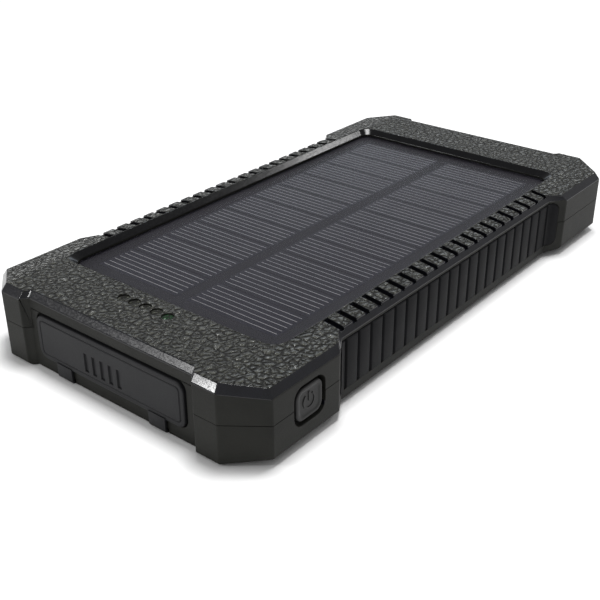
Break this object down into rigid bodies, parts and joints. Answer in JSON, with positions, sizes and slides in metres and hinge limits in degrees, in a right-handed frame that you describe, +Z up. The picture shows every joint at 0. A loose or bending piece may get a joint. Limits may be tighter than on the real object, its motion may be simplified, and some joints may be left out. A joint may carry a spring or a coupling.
{
  "type": "solar phone charger",
  "caption": "Slim rugged battery pack with a solar panel in its top face, a rubber cover over its charging ports and a push button on one corner.",
  "frame": {"origin": "middle of the underside, on the surface that the charger lies on", "axes": "+X towards the button side, +Y along the length away from the port end, +Z up through the solar panel"},
  "size_m": [0.0754, 0.142, 0.017],
  "materials": {
    "case_plastic": "grained dark greenish grey on the faces, satin on the walls and glossy on the edge bevels",
    "grip_rubber": "matt ribbed",
    "cover_rubber": "matt moulded",
    "button_plastic": "matt",
    "dark_plastic": "moulded",
    "white_plastic": "moulded",
    "panel_backing": "black laminate",
    "panel_laminate": "clear laminate with a soft sheen",
    "silicon": "dark grey-violet with fine silver lines",
    "circuit_board": "green solder resist",
    "socket_steel": "bright plated",
    "screw_steel": "dark plated",
    "pouch_foil": "satin foil",
    "foam": "closed-cell foam",
    "red_wire": "insulation",
    "black_wire": "insulation",
    "led_body": "ceramic body with a clear window",
    "clear_lens": "frosted light window"
  },
  "bodies": {
    "case": {"battery_lead_negative": "black_wire", "battery_lead_positive": "red_wire", "battery_pad": "foam", "battery_pouch": "pouch_foil", "boost_inductor": "dark_plastic", "bottom_shell": "case_plastic", "case_screw_1": "screw_steel", "case_screw_2": "screw_steel", "case_screw_3": "screw_steel", "case_screw_4": "screw_steel", "cell_protection_board": "circuit_board", "charge_socket": "socket_steel", "flap_strap_left": "cover_rubber", "flap_strap_right": "cover_rubber", "indicator_board": "circuit_board", "indicator_led_1": "led_body", "indicator_led_2": "led_body", "indicator_led_3": "led_body", "indicator_led_4": "led_body", "indicator_led_5": "led_body", "indicator_lens_1": "clear_lens", "indicator_lens_2": "clear_lens", "indicator_lens_3": "clear_lens", "indicator_lens_4": "clear_lens", "indicator_lens_5": "clear_lens", "main_board": "circuit_board", "panel_board": "panel_backing", "panel_front_sheet": "panel_laminate", "panel_lead_negative": "black_wire", "panel_lead_positive": "red_wire", "power_chip": "dark_plastic", "power_switch_body": "dark_plastic", "side_grip_left": "grip_rubber", "side_grip_right": "grip_rubber", "solar_cell_1": "silicon", "solar_cell_10": "silicon", "solar_cell_11": "silicon", "solar_cell_12": "silicon", "solar_cell_13": "silicon", "solar_cell_14": "silicon", "solar_cell_15": "silicon", "solar_cell_16": "silicon", "solar_cell_17": "silicon", "solar_cell_18": "silicon", "solar_cell_19": "silicon", "solar_cell_2": "silicon", "solar_cell_20": "silicon", "solar_cell_3": "silicon", "solar_cell_4": "silicon", "solar_cell_5": "silicon", "solar_cell_6": "silicon", "solar_cell_7": "silicon", "solar_cell_8": "silicon", "solar_cell_9": "silicon", "top_shell": "case_plastic", "usb_socket_left": "socket_steel", "usb_socket_right": "socket_steel"},
    "cover": {"port_flap": "cover_rubber"},
    "button": {"power_button": "button_plastic"},
    "plunger": {"power_switch_plunger": "white_plastic"}
  },
  "joints": [
    {"name": "flap_hinge", "type": "hinge", "parent": "case", "child": "cover", "pos_m": [0, -0.0699, 0.0028], "axis": [1, 0, 0], "range_deg": [0, 100]},
    {"name": "button_press", "type": "slide", "parent": "case", "child": "button", "axis": [-1, 0, 0], "range_m": [0, 0.0004], "stiffness_N_per_m": 2000, "springref_m": -0.0003},
    {"name": "switch_press", "type": "slide", "parent": "case", "child": "plunger", "axis": [-1, 0, 0], "range_m": [0, 0.0004]}
  ],
  "couplings": [
    {"joint": "switch_press", "follows": "button_press", "ratio": 1}
  ]
}
